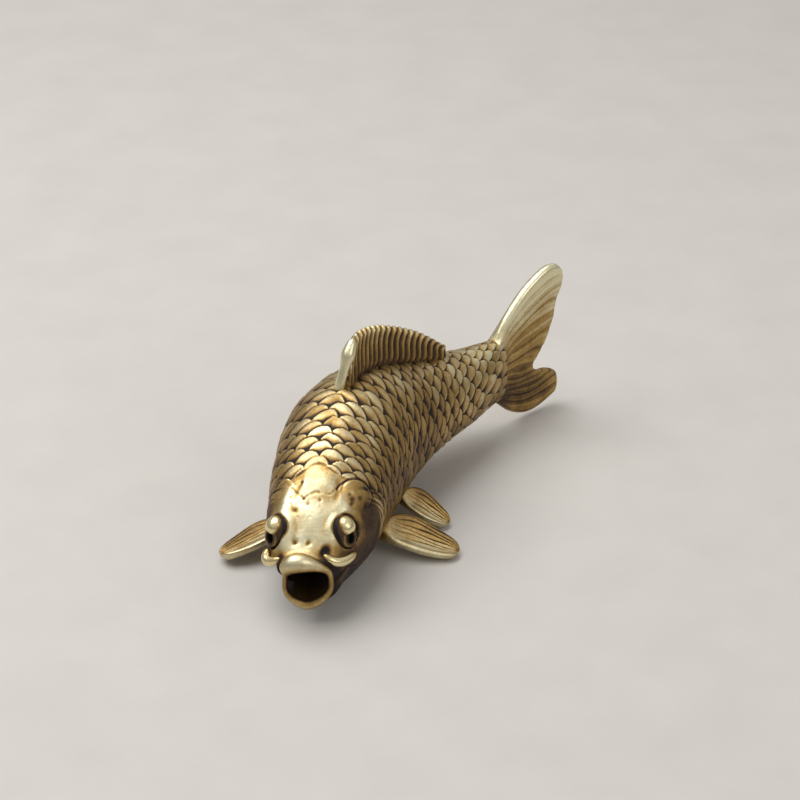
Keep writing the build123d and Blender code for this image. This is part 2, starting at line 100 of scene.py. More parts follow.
def through(rows: Array, place: Array) -> Array:
    """Values of a table at fractional rows, on a smooth curve through its rows.

    Args:
        rows: Table with one row of values per place.
        place: Fractional row numbers, in any shape.

    Returns:
        Values, with the table's columns as the last axis.
    """
    last = len(rows) - 1
    row = np.clip(np.floor(place), 0, last - 1).astype(int)
    t = (place - row)[..., None]
    p, q, r, s = [rows[np.clip(row + step, 0, last)] for step in (-1, 0, 1, 2)]
    bend = (2 * p - 5 * q + 4 * r - s) * t**2 + (3 * q - p - 3 * r + s) * t**3
    return q + ((r - p) * t + bend) / 2


def unit(vectors: Array) -> Array:
    """Vectors of length 1 in the same directions."""
    return vectors / np.linalg.norm(vectors, axis=-1, keepdims=True)


def soften(heights: Array, reach: int) -> Array:
    """Average a height field over its neighbours, round the rings and along the rows.

    Args:
        heights: Heights by row and column; the columns close on themselves.
        reach: Neighbours taken on each side.

    Returns:
        Averaged heights.
    """
    steps = range(-reach, reach + 1)
    round_ring = sum(np.roll(heights, step, axis=1) for step in steps) / len(steps)
    padded = np.pad(round_ring, ((reach, reach), (0, 0)), mode="edge")
    rows = len(heights)
    return sum(padded[reach + step:reach + step + rows] for step in steps) / len(steps)


def node(tree: bpy.types.NodeTree, kind: str, inputs: dict | None = None, stops: tuple = (),
         **settings: object) -> bpy.types.Node:
    """Add a shader node.

    Args:
        tree: Node tree that gets the node.
        kind: Type name of the node.
        inputs: Socket values by name or number; an output socket is linked, anything else is set.
        stops: Places and linear colours of a colour ramp.
        settings: Properties of the node.

    Returns:
        The new node.
    """
    made = tree.nodes.new(kind)
    for key, value in settings.items():
        setattr(made, key, value)
    for key, value in (inputs or {}).items():
        if isinstance(value, bpy.types.NodeSocket):
            tree.links.new(value, made.inputs[key])
        else:
            made.inputs[key].default_value = value
    for number, (place, colour) in enumerate(stops):
        elements = made.color_ramp.elements
        element = elements[number] if number < 2 else elements.new(place)
        element.position, element.color = place, colour
    return made


@dataclass(frozen=True)
class CastBrass:
    """Brass, cast in a fine mould, darkened in a bath and rubbed back by hand.

    The eye sees dark brown hollows, warm yellow slopes and pale polished tops, with a faint grain.
    """

    name: str
    slot: Slot
    hollow: str
    brown: str
    brass: str
    polished: str
    polished_roughness: float
    hollow_roughness: float
    cloud_mm: float = 2.6
    grain_mm: float = 0.35
    pit_mm: float = 0.9

    def material(self) -> bpy.types.Material:
        """Build the finish from the value of patina and painted light at each vertex, clouds of tarnish and
        casting grain.
        """
        made = bpy.data.materials.new(self.name)
        made.use_nodes = True
        tree = made.node_tree
        tree.nodes.clear()
        place = node(tree, "ShaderNodeTexCoord").outputs["Object"]
        # The per-vertex value read here holds the patina and also the painted shade and painted highlights
        # of each piece.
        depth = node(tree, "ShaderNodeAttribute", attribute_name="patina_and_painted_light").outputs["Fac"]
        clouds, grain, pits = [
            node(tree, "ShaderNodeTexNoise",
                 {"Vector": place, "Scale": 1 / (size * MM), "Detail": detail, "Roughness": 0.6})
            for size, detail in ((self.cloud_mm, 5.0), (self.grain_mm, 3.0), (self.pit_mm, 4.0))]
        cloudy = node(tree, "ShaderNodeMath", {0: clouds.outputs["Fac"], 1: 0.42, 2: depth},
                      operation="MULTIPLY_ADD")
        grainy = node(tree, "ShaderNodeMath", {0: grain.outputs["Fac"], 1: 0.22, 2: cloudy.outputs[0]},
                      operation="MULTIPLY_ADD")
        tone = node(tree, "ShaderNodeMath", {0: grainy.outputs[0], 1: 0.32}, operation="SUBTRACT",
                    use_clamp=True).outputs[0]
        colour = node(tree, "ShaderNodeValToRGB", {"Fac": tone}, stops=(
            (0.12, linear(self.polished)), (0.94, linear(self.hollow)),
            (0.42, linear(self.brass)), (0.70, linear(self.brown))))
        roughness = node(tree, "ShaderNodeMapRange", {
            "Value": tone, "From Min": 0.1, "From Max": 0.9,
            "To Min": self.polished_roughness, "To Max": self.hollow_roughness})
        metal = node(tree, "ShaderNodeMapRange", {
            "Value": tone, "From Min": 0.62, "From Max": 1.0, "To Min": 1.0, "To Max": 0.55})
        dents = node(tree, "ShaderNodeBump", {
            "Height": pits.outputs["Fac"], "Strength": 0.45, "Distance": 0.10 * MM})
        relief = node(tree, "ShaderNodeBump", {
            "Height": grain.outputs["Fac"], "Strength": 0.3, "Distance": 0.04 * MM,
            "Normal": dents.outputs["Normal"]})
        shader = node(tree, "ShaderNodeBsdfPrincipled", {
            "Base Color": colour.outputs["Color"], "Metallic": metal.outputs["Result"],
            "Roughness": roughness.outputs["Result"], "Normal": relief.outputs["Normal"]})
        node(tree, "ShaderNodeOutputMaterial", {"Surface": shader.outputs["BSDF"]})
        return made


class Mould:
    """Skin of one piece, gathered from closed rings of points in millimetres."""

    def __init__(self) -> None:
        """Start with no points."""
        self.points: list[Array] = []
        self.patina_and_painted_light: list[Array] = []
        self.faces: list[list[int]] = []
        self.size = 0

    def add(self, rings: Array, patina_and_painted_light: Array) -> None:
        """Join rings of points into one closed skin.

        Args:
            rings: Points by ring and place round the ring.
            patina_and_painted_light: Darkness of the finish at each point, from 0 on polished tops to 1 in
                hollows; it holds patina and also painted shade and painted highlights.
        """
        rows, columns = rings.shape[:2]
        index = self.size + np.arange(rows * columns).reshape(rows, columns)
        ahead = np.roll(index, -1, axis=1)
        quads = np.stack([index[:-1], ahead[:-1], ahead[1:], index[1:]], axis=-1)
        self.faces += quads.reshape(-1, 4).tolist()
        self.faces += [index[0][::-1].tolist(), index[-1].tolist()]
        self.points.append(rings.reshape(-1, 3))
        self.patina_and_painted_light.append(np.clip(np.broadcast_to(patina_and_painted_light, (rows, columns)), 0, 1).ravel())
        self.size += rows * columns

    def tube(self, path: Array, radii: Array, patina_and_painted_light: Array, facing: Array, sides: int = 28) -> None:
        """Add a rod with a varied radius along a path.

        Args:
            path: Points along the middle of the rod.
            radii: Radius at each point.
            patina_and_painted_light: Darkness of the finish at each point, from patina and painted light.
            facing: A direction that is never along the path.
            sides: Points round the rod.
        """
        tangent = unit(np.gradient(path, axis=0))
        first = unit(np.cross(tangent, facing))
        second = np.cross(tangent, first)
        turn = np.linspace(0, 2 * math.pi, sides, endpoint=False)
        spokes = np.cos(turn)[None, :, None] * first[:, None]
        spokes = spokes + np.sin(turn)[None, :, None] * second[:, None]
        self.add(path[:, None] + spokes * np.asarray(radii)[:, None, None], np.asarray(patina_and_painted_light)[:, None])

    def mesh(self, name: str) -> bpy.types.Mesh:
        """Make the mesh in metres, with its values of patina and painted light, and outward faces."""
        made = bpy.data.meshes.new(name)
        made.from_pydata((np.concatenate(self.points) * MM).tolist(), [], self.faces)
        values = made.attributes.new("patina_and_painted_light", "FLOAT", "POINT")
        values.data.foreach_set("value", np.concatenate(self.patina_and_painted_light).astype(np.float32))
        skin = bmesh.new()
        skin.from_mesh(made)
        bmesh.ops.recalc_face_normals(skin, faces=skin.faces)
        skin.to_mesh(made)
        skin.free()
        made.shade_smooth()
        return made


@dataclass(frozen=True)
class BodyForm:
    """Plain form of the body, which carries every piece, in millimetres and degrees.

    A station is a place along the body, counted in rows of the table from the mouth. Each row holds the
    place across and along in lengths, the spine's height in heights, the half width in widths, and the
    reach of the back and of the belly in heights.
    """

    length: float = 50.0
    width: float = 15.0
    height: float = 18.7
    flat_depth: float = 0.5
    last: float = 10.0
    shares: tuple = (
        (-0.086, -0.368, 0.316, 0.207, 0.134, 0.139),
        (-0.082, -0.328, 0.358, 0.287, 0.171, 0.225),
        (-0.068, -0.272, 0.417, 0.373, 0.257, 0.310),
        (-0.046, -0.192, 0.471, 0.433, 0.348, 0.401),
        (-0.026, -0.080, 0.519, 0.473, 0.425, 0.503),
        (0.010, 0.040, 0.556, 0.500, 0.470, 0.556),
        (0.076, 0.160, 0.556, 0.467, 0.440, 0.471),
        (0.172, 0.272, 0.524, 0.387, 0.337, 0.326),
        (0.272, 0.368, 0.497, 0.300, 0.257, 0.267),
        (0.344, 0.430, 0.497, 0.193, 0.225, 0.246),
        (0.392, 0.470, 0.503, 0.100, 0.219, 0.241))
    headings: tuple = (0, 1, 2, 4, 9, 21, 35, 43, 47, 50, 50)

    def spine(self, station: Array) -> Array:
        """Points on the spine."""
        shares = through(np.array(self.shares), np.asarray(station, float))[..., :3]
        return shares * (self.length, self.length, self.height) - UP * self.flat_depth

    def run(self, station: Array) -> Array:
        """Distances along the spine from the mouth."""
        fine = np.linspace(0, self.last, 2001)
        steps = np.linalg.norm(np.diff(self.spine(fine), axis=0), axis=1)
        return np.interp(station, fine, np.concatenate([[0], np.cumsum(steps)]))

    def axes(self, station: Array) -> tuple[Array, Array]:
        """Directions to the head and to the fish's left."""
        rows = np.radians(np.array(self.headings, float))[:, None]
        turn = through(rows, np.asarray(station, float))[..., 0]
        none = np.zeros_like(turn)
        forward = np.stack([-np.sin(turn), -np.cos(turn), none], axis=-1)
        return forward, np.stack([np.cos(turn), -np.sin(turn), none], axis=-1)

    def reaches(self, station: Array) -> tuple[Array, Array, Array]:
        """Half width, back and belly, from the spine."""
        shares = through(np.array(self.shares), np.asarray(station, float))
        return shares[..., 3] * self.width, shares[..., 4] * self.height, shares[..., 5] * self.height

    def skin(self, station: Array, angle: Array, lift: Array = 0.0) -> Array:
        """Points on the skin.

        Args:
            station: Places along the body.
            angle: Places round the body, from the fish's left side up over the back.
            lift: Distance out from the plain form.

        Returns:
            Points, in millimetres.
        """
        station, angle = np.broadcast_arrays(np.asarray(station, float), np.asarray(angle, float))
        across, rise = np.cos(np.radians(angle)), np.sin(np.radians(angle))
        width, back, belly = self.reaches(station)
        reach = np.where(rise > 0, back, belly)
        steep = np.hypot(across / width, rise / reach)
        flat = width * across + lift * across / width / steep
        high = reach * rise + lift * rise / reach / steep
        side = self.axes(station)[1]
        return self.spine(station) + side * flat[..., None] + UP * high[..., None]

    def outward(self, station: float, angle: float) -> Array:
        """Direction square to the section's rim at one place."""
        return unit(self.skin(station, angle, 1.0) - self.skin(station, angle))


@dataclass(frozen=True)
class ScaleCoat:
    """Overlapping scales in staggered rows, as lattice rows and columns on the trunk.

    The rows slant to the head down the sides, by a share of a row for each half column.
    """

    columns: int = 15
    rows: int = 37
    first: float = 2.86
    lift: float = 0.36
    half_width_share: float = 0.57
    slant_share: float = 0.45
    fade_rows: float = 7.0
    seed: int = 11

    def relief(self, share: Array, angle: Array) -> tuple[Array, Array, Array]:
        """Shape the coat over the plain form.

        Args:
            share: Places along the trunk, from 0 at the first scales to 1 at the tail root.
            angle: Places round the body.

        Returns:
            Heights in shares of the lift, about 0 in the seams; how far each place lies from the covered
            root of its scale, from 0 to 1 at the free edge; and a number from -1 to 1 for each scale.
        """
        down = share * self.rows
        around = angle / 360 * self.columns
        off_ridge = np.minimum(np.abs((angle + 90) % 360 - 180), 90)
        fade = np.clip(np.minimum(down, self.rows - down) / self.fade_rows, 0, 1)
        down = down + self.slant_share * fade * off_ridge * 2 * self.columns / 360
        turn = np.radians(angle)
        down = down + 0.10 * np.sin(3 * turn + 0.45 * down)
        around = around + 0.06 * np.sin(2 * turn - 0.8 * down)
        dice = np.random.default_rng(self.seed)
        size = (self.rows + 9, self.columns)
        lifts, shifts, tips = [1 + spread * dice.uniform(-1, 1, size) for spread in (0.16, 0.07, 0.07)]
        kinds = dice.uniform(-1, 1, size)
        top, free, kind = np.zeros_like(down), np.zeros_like(down), np.zeros_like(down)
        for before in range(3):
            row = np.floor(down).astype(int) - before
            half = (row % 2) / 2
            nearest = np.round(around - half)
            for step in (-1, 0, 1):
                column = nearest + step
                pick = (row % size[0], column.astype(int) % self.columns)
                along = (down - row) / 2
                across = (around - half - column + shifts[pick] - 1) / self.half_width_share
                end = np.maximum(along - 0.45, 0) / (1.15 * tips[pick] - 0.45)
                inside = 1 - np.hypot(across, end)
                crest = 0.26 + 0.74 * smooth(0.0, 0.95, along) - 0.06 * across**2
                tile = crest * lifts[pick] * smooth(0.0, 0.10, inside)
                higher = tile > top
                free, kind = np.where(higher, along, free), np.where(higher, kinds[pick], kind)
                top = np.maximum(top, tile)
        return top - 0.5, smooth(0.15, 0.65, free), kind


@dataclass(frozen=True)
class Piece:
    """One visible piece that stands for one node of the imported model."""

    form: BodyForm
    finish: CastBrass

    @property
    def node(self) -> str:
        """Name of the node that the piece stands for."""
        raise NotImplementedError

    def build(self) -> Mould:
        """Shape the piece."""
        raise NotImplementedError

    def dress(self, mould: Mould) -> bpy.types.Object:
        """Turn a shape into the finished piece.

        Args:
            mould: Shape of the piece.

        Returns:
            Object with its finish, riding on the figurine's body.
        """
        made = bpy.data.objects.new(f"brass_{self.node}", mould.mesh(self.node))
        bpy.context.scene.collection.objects.link(made)
        known = bpy.data.materials.get(self.finish.name)
        made.data.materials.append(known or self.finish.material())
        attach(made, "root")
        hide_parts(self.node)
        return made


@dataclass(frozen=True)
class EyeSeat:
    """Place of both eyes on the skin. Each looks forward and down from the direction that the skin faces."""

    station: float = 1.78
    angle: float = 40.0
    forward_share: float = 0.42
    drop_share: float = 0.33

    def place(self, form: BodyForm, hand: Hand) -> tuple[Array, Array]:
        """Find one eye.

        Args:
            form: Plain form of the body.
            hand: Side of the fish.

        Returns:
            Middle of the eye's foot, and the direction in which the eye looks.
        """
        angle = self.angle if hand is Hand.LEFT else 180 - self.angle
        look = form.outward(self.station, angle) + form.axes(self.station)[0] * self.forward_share
        return form.skin(self.station, angle), unit(look - UP * self.drop_share)


@dataclass(frozen=True)
class BodyCasting(Piece):
    """Head and trunk in one casting: lips, throat, nostrils, eye sockets, gill covers and scale coat.

    Marks lie at stations and angles of the body's form. A dent or a stain also has its size, and a crack, a
    crease or an edge is a line through a few places. A stain is a share that is added to the value of patina
    and painted light.
    """

    coat: ScaleCoat = ScaleCoat()
    seat: EyeSeat = EyeSeat()
    columns: int = 420
    head_rows: int = 150
    trunk_rows: int = 340
    skin_start: float = 0.5
    mouth_depth: float = 5.0
    throat_share: float = 0.6
    mouth_half_width: float = 2.3
    mouth_rise: float = 1.95
    mouth_drop: float = 2.45
    jaw_recess: float = 0.6
    mouth_shift: float = 0.35
    upper_lip_radius: float = 1.15
    lower_lip_radius: float = 0.58
    corner_radius: float = 0.26
    gill_radius: float = 5.2
    gill_rise: float = 1.5
    gill_station: float = 2.0
    gill_lift: float = 0.2
    plate_station: float = 2.73
    plate_angle: float = 47.5
    plate_radius: float = 1.95
    plate_lift: float = 0.42
    far_plate_lift: float = 0.12
    seam_width: float = 0.15
    seam_depth: float = 0.12
    cheek_radius: float = 3.3
    cheek_depth: float = 0.1
    pleat_height: float = 0.06
    pleat_pitch: float = 0.62
    socket_radius: float = 1.78
    socket_depth: float = 0.35
    brow_height: float = 0.42
    nape_height: float = 0.06
    valley_depth: float = 0.10
    edge_depth: float = 0.10
    edge_width: float = 0.16
    crack_depth: float = 0.05
    crack_width: float = 0.2
    nostril_depth: float = 0.22
    nostril_radius: float = 0.38
    dent_depth: float = 0.07
    fold_place: tuple = (0.93, 59.0)
    fold_depth: float = 0.40
    fold_radius: float = 0.5
    snout_height: float = 0.28
    chin_height: float = 0.35
    jaw_cut: float = 2.3
    corner_cut: float = 0.9
    cover_cut: float = 0.4
    wear_height: float = 0.014
    # Strength of the painted shadow band across the top of the head.
    band_painted_shade: float = 0.16
    crease_darkening: float = 0.5
    crease_width: float = 0.45
    spot_stain: float = 0.32
    nostrils: tuple = ((1.12, 87.5), (1.16, 107.0))
    dents: tuple = ((2.2, 96, 0.25), (2.3, 84, 0.2), (2.05, 108, 0.3), (3.0, 41, 0.3), (2.59, 56, 0.22),
                    (2.4, 50, 0.25), (2.62, 34, 0.3))
    cracks: tuple = (((2.94, 127), (2.6, 113), (2.36, 102)),
                     ((2.46, 117), (2.19, 114.5), (1.86, 105.5)),
                     ((2.36, 102), (2.5, 90), (2.46, 77), (2.64, 72)),
                     ((2.98, 113), (2.78, 108), (2.62, 112)))
    creases: tuple = (((0.95, 58), (0.62, 60), (0.52, 42), (0.52, 15)),
                      ((0.76, 133), (0.55, 141), (0.52, 165)))
    stains: tuple = ((0.93, 59, 0.6), (2.97, 41, 0.38), (2.5, 52, 0.4), (2.62, 45, 0.3), (2.1, 112, 0.35))
    plate_edge: tuple = ((2.66, 70), (2.79, 68), (2.98, 60), (3.1, 50), (3.1, 37), (3.0, 26))

    @property
    def node(self) -> str:
        """Name of the node that the piece stands for."""
        return "body_casting"

    def away(self, station: float, angle: float, points: Array) -> Array:
        """Distance of points from one place on the skin."""
        return np.linalg.norm(points - self.form.skin(station, angle), axis=-1)

    def from_line(self, places: tuple, points: Array) -> Array:
        """Distance of points from a line drawn on the skin through a few places."""
        rows = np.array(places, float)
        drawn = through(rows, np.linspace(0, len(rows) - 1, 9 * len(rows)))
        return np.min([self.away(at, turn, points) for at, turn in drawn], axis=0)

    def stations(self) -> Array:
        """Places of the rows along the skin, evenly spaced in millimetres on the head and on the trunk."""
        fine = np.linspace(self.skin_start, self.form.last, 800)
        run = self.form.run(fine)
        seam = self.form.run(3.0)
        head = np.linspace(run[0], seam, self.head_rows, endpoint=False)
        trunk = np.linspace(seam, run[-1], self.trunk_rows)
        return np.interp(np.concatenate([head, trunk]), run, fine)

    def gills(self, station: Array, angle: Array, points: Array) -> Array:
        """Height of the gill covers: a round-edged cover with a domed plate, grooves and fine pleats."""
        middle = self.form.spine(self.gill_station) + UP * self.gill_rise
        forward = self.form.axes(self.gill_station)[0]
        away = points - middle
        ahead, over = away @ forward, away[..., 2]
        distance = np.hypot(ahead, over)
        side = smooth(0.60, 0.85, np.abs(np.cos(np.radians(angle))))
        cover = self.gill_lift * smooth(0.0, 0.45, self.gill_radius - distance) * smooth(1.4, 2.8, station)
        seam = bump(distance, self.gill_radius + self.seam_width, self.seam_width)
        seam = -self.seam_depth * seam * smooth(2.2, 2.6, station)
        cheek = -self.cheek_depth * bump(distance, self.cheek_radius, 0.2)
        cheek = cheek * smooth(0.5, -0.5, over) * smooth(0.6, 1.2, station)
        pleats = self.pleat_height * np.sin(distance * 2 * math.pi / self.pleat_pitch + 2.4 * over)
        pleats = pleats * bump(distance, 4.4, 0.5) * smooth(3.4, 2.4, over) * smooth(2.0, 2.4, station)
        dome = 0.0
        plates = ((self.plate_angle, self.plate_lift), (180 - self.plate_angle, self.far_plate_lift))
        for turn, height in plates:
            plate = self.away(self.plate_station, turn, points)
            before = (points - self.form.skin(self.plate_station, turn)) @ forward
            steep = 0.55 + 1.3 * smooth(-0.6, 1.0, before)
            dome = dome + height * np.clip(1 - (plate / self.plate_radius) ** 2, 0, 1) ** steep
        return (cover + cheek + pleats + seam) * side + dome

    def crown(self, station: Array, angle: Array, points: Array) -> Array:
        """Height of the brow, nape, cracks, nostrils, dents, fold, snout and chin."""
        off = np.abs(angle - 90)
        brow = self.brow_height * bump(off, 34, 14) * smooth(0.7, 1.3, station) * smooth(2.9, 2.2, station)
        nape = self.nape_height * smooth(26, 14, off) * smooth(2.45, 2.7, station)
        nape = nape * smooth(3.25, 3.1, station)
        valley = -self.valley_depth * bump(off, 21 + 9 * (2.6 - station), 4.0) * smooth(2.2, 2.5, station)
        valley = valley * smooth(3.0, 2.8, station)
        marks = -self.edge_depth * bump(self.from_line(self.plate_edge, points), 0.0, self.edge_width)
        broken = np.clip(0.6 + 0.7 * self.worn(station.shape, 3), 0, 1.3)
        for places in self.cracks:
            line = bump(self.from_line(places, points), 0.0, self.crack_width)
            marks = marks - self.crack_depth * broken * line
        for at, turn in self.nostrils:
            marks = marks - self.nostril_depth * bump(self.away(at, turn, points), 0.0, self.nostril_radius)
        for at, turn, size in self.dents:
            marks = marks - self.dent_depth * bump(self.away(at, turn, points), 0.0, size)
        fold = -self.fold_depth * bump(self.away(*self.fold_place, points), 0.0, self.fold_radius)
        snout = self.snout_height * smooth(0.9, 0.5, station) * smooth(90, 50, off)
        chin = self.chin_height * smooth(1.5, 0.5, station) * smooth(145, 175, off)
        return brow + nape + valley + marks + fold + snout + chin

    def trim(self, station: Array, angle: Array) -> Array:
        """Height taken off the fish's right cheek, which the head turns away from."""
        jaw = self.jaw_cut * bump(angle, 210, 36) * smooth(2.8, 1.9, station)
        corner = self.corner_cut * bump(angle, 170, 16) * smooth(1.3, 0.8, station)
        cover = bump(angle, 172, 28) * smooth(1.2, 2.2, station) * smooth(5.2, 4.0, station)
        return -jaw - corner - self.cover_cut * cover

    def sockets(self, points: Array) -> tuple[Array, Array]:
        """Shape the seats of the eyes.

        Args:
            points: Points of the plain skin.

        Returns:
            Heights, which sink before each eye and rise behind it to meet its foot; and shares from 0 to 1
            of the dark groove about it.
        """
        heights, groove = np.zeros(points.shape[:-1]), np.zeros(points.shape[:-1])
        for hand in Hand:
            middle, look = self.seat.place(self.form, hand)
            away = points - middle
            over = away @ look
            beside = np.linalg.norm(away - over[..., None] * look, axis=-1)
            near = smooth(4.5, 3.5, np.linalg.norm(away, axis=-1))
            need = -self.socket_depth - over
            sunk = np.minimum(need, 0) * smooth(self.socket_radius + 0.3, self.socket_radius, beside)
            mound = np.maximum(need, 0) * smooth(self.socket_radius + 0.7, self.socket_radius - 0.3, beside)
            heights = heights + (sunk + 0.4 * mound) * near
            ditch = smooth(self.socket_radius + 0.2, self.socket_radius, beside) * near
            groove = np.maximum(groove, ditch)
        return heights, groove

    def mouth(self, angle: Array) -> tuple[Array, Array]:
        """Rings of the throat and the lips: a flat-topped opening, a thick upper lip and a thin lower lip.

        Args:
            angle: Places round the mouth, from the fish's left up over the upper lip.

        Returns:
            Rings from the back of the throat to the outside of the lips, and their values of patina and
            painted light.
        """
        across, rise = np.cos(np.radians(angle)), np.sin(np.radians(angle))
        upper, under = smooth(0.05, 0.55, rise), np.maximum(-rise, 0)
        high = np.where(rise > 0, self.mouth_rise * np.abs(rise) ** 0.35, self.mouth_drop * rise)
        drawn = np.sign(across) * np.abs(across) ** np.where(rise > 0, 1.0, 1.3)
        inner = np.stack([self.mouth_half_width * drawn, high], axis=-1)
        out = unit(inner * (0.8, 1.0) + 1e-6)
        inner[:, 0] += self.mouth_shift - 0.15 * under
        thick = bump(inner[:, 0], -0.4, 1.7) * upper
        radius = self.corner_radius + (self.lower_lip_radius - self.corner_radius) * under**2
        radius = radius + 0.06 * np.maximum(across, 0) + (self.upper_lip_radius - self.corner_radius) * thick
        middle = inner + out * radius[:, None]
        forward, side = self.form.axes(0.0)
        start = self.form.spine(0.0)

        def ring(flat: Array, ahead: Array) -> Array:
            """One ring from places in the mouth's plane and distances ahead of it."""
            return start + flat[:, :1] * side + flat[:, 1:] * UP + ahead[:, None] * forward

        rings = [ring(inner * 0.03, np.full_like(radius, -self.mouth_depth))]
        tones = [np.ones_like(radius)]
        for t in np.linspace(0, 1, 16, endpoint=False):
            size = self.throat_share + (1 - self.throat_share) * math.sqrt(t)
            rings.append(ring(inner * size, -self.mouth_depth * (1 - t) - self.jaw_recess * under * t))
            tones.append(1 - (0.04 + 0.56 * under) * math.sqrt(t))
        for turn in np.radians(np.linspace(180, -66, 23)):
            ahead = radius * math.sin(turn) - self.jaw_recess * under
            rings.append(ring(middle + out * (radius * math.cos(turn))[:, None], ahead))
            # Each lip roll is paler on its crest and darker beneath: rubbed wear with a painted highlight on
            # the crest, and painted shade under the roll; the lip corners and the ends of the upper lip are
            # darker.
            outside = smooth(0.2, -0.9, turn) * (1 - upper)
            thin = 0.72 - 0.43 * max(math.sin(turn + 0.3), -0.1) + 0.3 * outside + 0.16 * (1 - under)
            beak = 0.64 - 0.52 * max(math.sin(turn + 0.75), -0.1) + 0.22 * (upper - thick)
            tones.append(thin * (1 - upper) + beak * upper)
        return np.array(rings), np.array(tones)

    def worn(self, shape: tuple, reach: int) -> Array:
        """Random waves with a height of about 1, as wide as about twice the reach."""
        waves = soften(soften(np.random.default_rng(5).normal(size=shape), reach), reach)
        return waves / waves.std()

    def build(self) -> Mould:
        """Shape the casting as one skin from the throat over the lips to the tail root."""
        angle = np.linspace(0, 360, self.columns, endpoint=False)
        station, angle = np.meshgrid(self.stations(), angle, indexing="ij")
        plain = self.form.skin(station, angle)
        back = self.form.reaches(station)[1]
        first, last = self.form.run(np.array((self.coat.first, self.form.last)))
        scales, free, kind = self.coat.relief((self.form.run(station) - first) / (last - first), angle)
        scales = scales * self.coat.lift * np.clip(back / 7.5, 0.55, 1)
        gills = self.gills(station, angle, plain) * smooth(3.75, 3.3, station)
        hem = 2.92 + 0.24 * bump(angle, 94.0, 17.0)
        coated = smooth(0.0, 0.08, station - hem) * (1 - smooth(0.04, 0.12, gills))
        seats, groove = self.sockets(plain)
        heights = scales * coated + gills + self.crown(station, angle, plain) + seats
        heights = heights + self.trim(station, angle) + self.wear_height * self.worn(heights.shape, 6)
        level = np.where(angle > 180, np.maximum(180 - angle, angle - 360), np.minimum(angle, 180 - angle))
        # Sides lower down towards the belly; each term below that grows with low darkens them as painted
        # shade.
        low = smooth(66, 8, level)
        hollow = soften(heights, 2) - heights + (0.10 + 0.22 * coated) * (soften(heights, 12) - heights)
        head = smooth(3.05, 2.9, station)
        # Hollows keep dark patina and crests are rubbed pale; each scale has its own tone; the lower sides
        # get painted shade.
        patina_and_painted_light = 0.43 + np.maximum(hollow / 0.10, -0.13) + coated * (0.07 * kind + 0.13 * low)
        # Each scale is darker towards its covered root and paler at its free edge: patina in the pockets,
        # and also painted shade and painted highlight; more painted shade low on the sides.
        patina_and_painted_light = patina_and_painted_light + coated * (1 - free) * (0.20 + 0.22 * low + 0.10 * smooth(4.5, 7, station))
        # The brow and the nape are made paler: rubbed wear, and also a painted highlight on the top of the
        # head.
        rubbed = smooth(hem + 0.3, hem - 0.2, station) * smooth(44, 66, level)
        patina_and_painted_light = patina_and_painted_light - (0.24 - 0.13 * smooth(2.3, 2.6, station)) * rubbed
        # The near gill plate is painted darker, as a painted dark reflection.
        plate = self.away(self.plate_station, self.plate_angle, plain)
        patina_and_painted_light = patina_and_painted_light + 0.12 * smooth(self.plate_radius, 1.2, plate)
        # The tail root is made paler, and the lower sides of the middle trunk get more painted shade.
        patina_and_painted_light = patina_and_painted_light - 0.10 * smooth(6.5, 9.0, station) + 0.10 * low * coated * smooth(7.5, 6.0, station)
        # The lower head and cheeks are darker towards the bottom: painted shade. The eye groove keeps its
        # patina.
        cheek = 0.33 * smooth(48, 20, level) + 0.14 * smooth(12, -20, level)
        patina_and_painted_light = patina_and_painted_light + head * cheek + 0.5 * groove
        patina_and_painted_light = patina_and_painted_light + 0.22 * smooth(0.85, 0.6, station) * smooth(20, 60, level)
        # Painted shadow band across the top of the head, between the brow and the nape.
        shade_band = bump(station, 2.36 - 0.002 * (angle - 90), 0.09) * smooth(30, 14, np.abs(angle - 88))
        patina_and_painted_light = patina_and_painted_light + self.band_painted_shade * shade_band
        # Darker along lines at the creases by the lips and the mouth corners.
        for places in self.creases:
            patina_and_painted_light = patina_and_painted_light + self.crease_darkening * bump(self.from_line(places, plain), 0.0, self.crease_width)
        for at, turn, size in self.stains:
            patina_and_painted_light = patina_and_painted_light + self.spot_stain * bump(self.away(at, turn, plain), 0.0, size)
        rings = self.form.skin(station, angle, heights)
        lips, lip_tones = self.mouth(angle[0])
        root = self.form.spine(self.form.last)
        tail = [root + (rings[-1] - root) * size for size in (0.7, 0.02)]
        rings = np.concatenate([lips, rings, tail])
        rings[..., 2] = np.maximum(rings[..., 2], 0)
        tones = np.concatenate([lip_tones, patina_and_painted_light, np.full((2, self.columns), 0.8)])
        mould = Mould()
        mould.add(rings, tones)
        return mould


